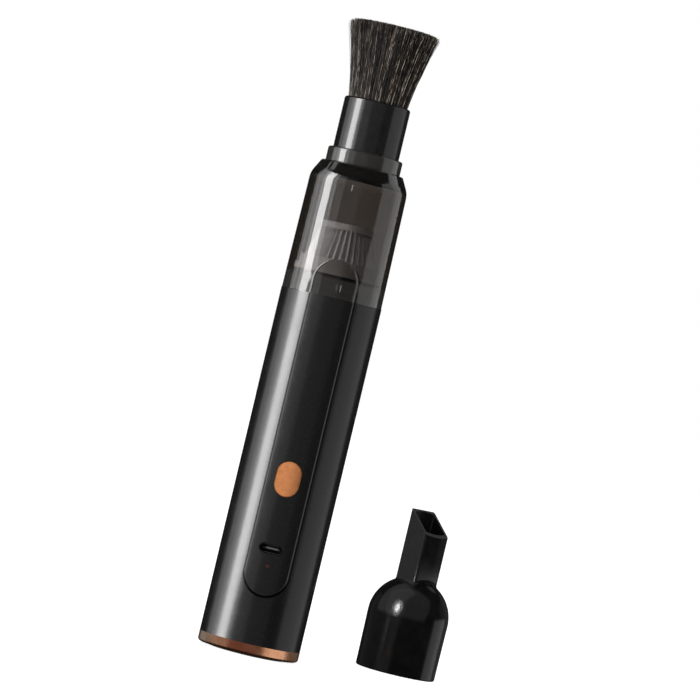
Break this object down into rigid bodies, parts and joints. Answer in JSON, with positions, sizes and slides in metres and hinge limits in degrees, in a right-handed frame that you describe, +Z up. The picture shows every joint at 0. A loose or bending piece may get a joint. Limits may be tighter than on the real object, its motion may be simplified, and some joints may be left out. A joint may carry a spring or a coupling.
{
  "type": "desktop mini vacuum cleaner",
  "caption": "Pen-shaped cordless mini vacuum with a smoked dust cup, a brush nozzle fitted and a loose crevice nozzle beside it.",
  "frame": {"origin": "centre of the rubber foot's underside, on the handle's axis and on the surface it stands on", "axes": "+Z up the handle towards the brush, -Y the front with the button and charge port, +X to the right seen from the front"},
  "size_m": [0.0913, 0.1074, 0.2361],
  "materials": {
    "black_shell": "satin black moulded ABS",
    "black_inner": "fine-grained black plastic",
    "copper": "copper-coloured anodised aluminium, satin",
    "steel": "plain steel",
    "brass": "plain brass",
    "rubber": "matte black rubber",
    "board": "green solder mask",
    "chip": "black moulded plastic",
    "magnet": "sintered ferrite",
    "red_light": "dark red clear acrylic",
    "cell_wrap": "shrink sleeve",
    "lead": "silicone insulation",
    "white_inner": "white nylon",
    "foam": "open-cell foam",
    "smoked_clear": "smoked clear polycarbonate",
    "grey_filter": "grey plastic",
    "filter_paper": "pleated grey paper",
    "gloss_black": "glossy black plastic",
    "hair": "dark brown natural hair",
    "satin_black": "satin black plastic"
  },
  "bodies": {
    "handle": {"casing": "black_shell", "base_ring": "copper", "base_cap": "black_inner", "base_screws": "steel", "foot_pad": "rubber", "circuit_board": "board", "board_screws": "steel", "board_parts": "chip", "usb_shell": "steel", "usb_tongue": "chip", "status_led": "red_light", "light_pipe": "red_light", "tact_switch": "chip", "battery_cell": "cell_wrap", "battery_tabs": "steel", "battery_leads": "lead", "chassis": "black_inner", "motor_sleeve": "rubber", "motor_can": "steel", "motor_end_cap": "chip", "motor_bushes": "brass", "motor_terminals": "brass", "motor_magnets": "magnet", "motor_screws": "steel", "motor_leads": "lead", "fan_housing": "black_inner", "fan_cover": "black_inner", "exhaust_screen": "foam", "cup_mount": "black_inner", "cup_seal": "rubber"},
    "button": {"button_cap": "copper", "button_carrier": "black_inner", "switch_plunger": "chip"},
    "rotor": {"motor_shaft": "steel", "rotor_core": "steel", "commutator": "brass", "impeller": "white_inner"},
    "cup": {"dust_cup": "smoked_clear"},
    "filter": {"filter_frame": "grey_filter", "filter_gasket": "rubber", "filter_pleats": "filter_paper", "filter_cap": "grey_filter"},
    "brush": {"brush_tube": "gloss_black", "neck_seal": "rubber", "bristle_sleeve": "black_inner", "bristle_ring": "hair"},
    "crevice": {"crevice_nozzle": "satin_black"}
  },
  "joints": [
    {"name": "button_press", "type": "slide", "parent": "handle", "child": "button", "axis": [0, 1, 0], "range_m": [0, 0.0005], "stiffness_N_per_m": 600, "springref_m": -0.0005},
    {"name": "rotor_spin", "type": "hinge", "parent": "handle", "child": "rotor", "pos_m": [0, 0, 0.1144], "axis": [0, 0, 1], "continuous": true},
    {"name": "cup_pull", "type": "slide", "parent": "handle", "child": "cup", "axis": [0, 0, 1], "range_m": [0, 0.06]},
    {"name": "filter_pull", "type": "slide", "parent": "handle", "child": "filter", "axis": [0, 0, 1], "range_m": [0, 0.01]},
    {"name": "brush_pull", "type": "slide", "parent": "cup", "child": "brush", "axis": [0, 0, 1], "range_m": [0, 0.03]},
    {"name": "crevice_lift", "type": "slide", "parent": "handle", "child": "crevice", "axis": [0, 0, 1], "range_m": [0, 0.05]}
  ]
}
